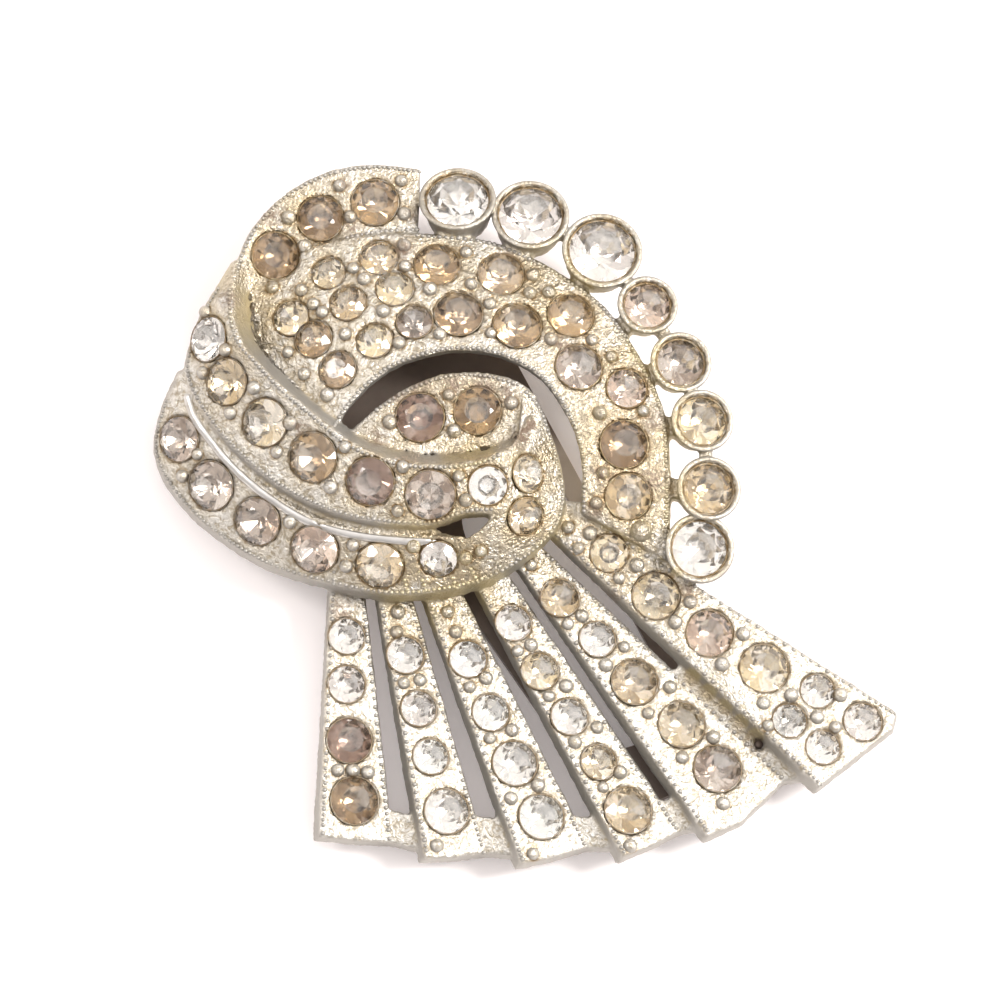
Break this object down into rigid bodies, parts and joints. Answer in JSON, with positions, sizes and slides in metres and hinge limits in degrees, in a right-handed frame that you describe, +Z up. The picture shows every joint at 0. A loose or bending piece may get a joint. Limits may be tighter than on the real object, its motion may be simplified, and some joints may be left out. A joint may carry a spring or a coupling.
{
  "type": "dress clip",
  "caption": "Cast metal dress clip: a pierced ribbon loop with bezel cups over a pleated fan, set with round cut stones, on a plain back clip.",
  "frame": {"origin": "centre of the part's box, on the surface that the back clip lies on", "axes": "+Z up through the face of the ornament, +Y along the clip from the fan's end to the loop, +X to the side with the bezel cups"},
  "size_m": [0.0445, 0.0578, 0.0119],
  "materials": {
    "cast_metal": "grainy cast white metal, warm silver, stained yellow and brown in the recesses",
    "dark_metal": "stamped metal darkened to a dull brown-grey",
    "clear_glass": "round cut glass on silver foil, bright to slightly yellowed",
    "smoky_glass": "round cut glass on foil that has gone dull brown"
  },
  "bodies": {
    "root": {"casting": "cast_metal", "back_clip": "dark_metal", "rim_stone_1": "clear_glass", "rim_stone_2": "clear_glass", "rim_stone_3": "clear_glass", "rim_stone_4": "clear_glass", "rim_stone_5": "clear_glass", "rim_stone_6": "clear_glass", "rim_stone_7": "clear_glass", "rim_stone_8": "clear_glass", "band_stone_1": "smoky_glass", "band_stone_2": "smoky_glass", "band_stone_3": "smoky_glass", "front_stone_1": "clear_glass", "front_stone_2": "clear_glass", "front_stone_3": "clear_glass", "front_stone_4": "clear_glass", "front_stone_5": "clear_glass", "front_stone_6": "clear_glass", "front_stone_7": "clear_glass", "knot_stone_1": "clear_glass", "knot_stone_2": "clear_glass", "lower_stone_1": "clear_glass", "lower_stone_2": "clear_glass", "lower_stone_3": "clear_glass", "lower_stone_4": "clear_glass", "lower_stone_5": "clear_glass", "lower_stone_6": "clear_glass", "oval_stone_1": "smoky_glass", "oval_stone_2": "smoky_glass", "loop_stones": "clear_glass", "fan_stones": "clear_glass"}
  },
  "joints": []
}
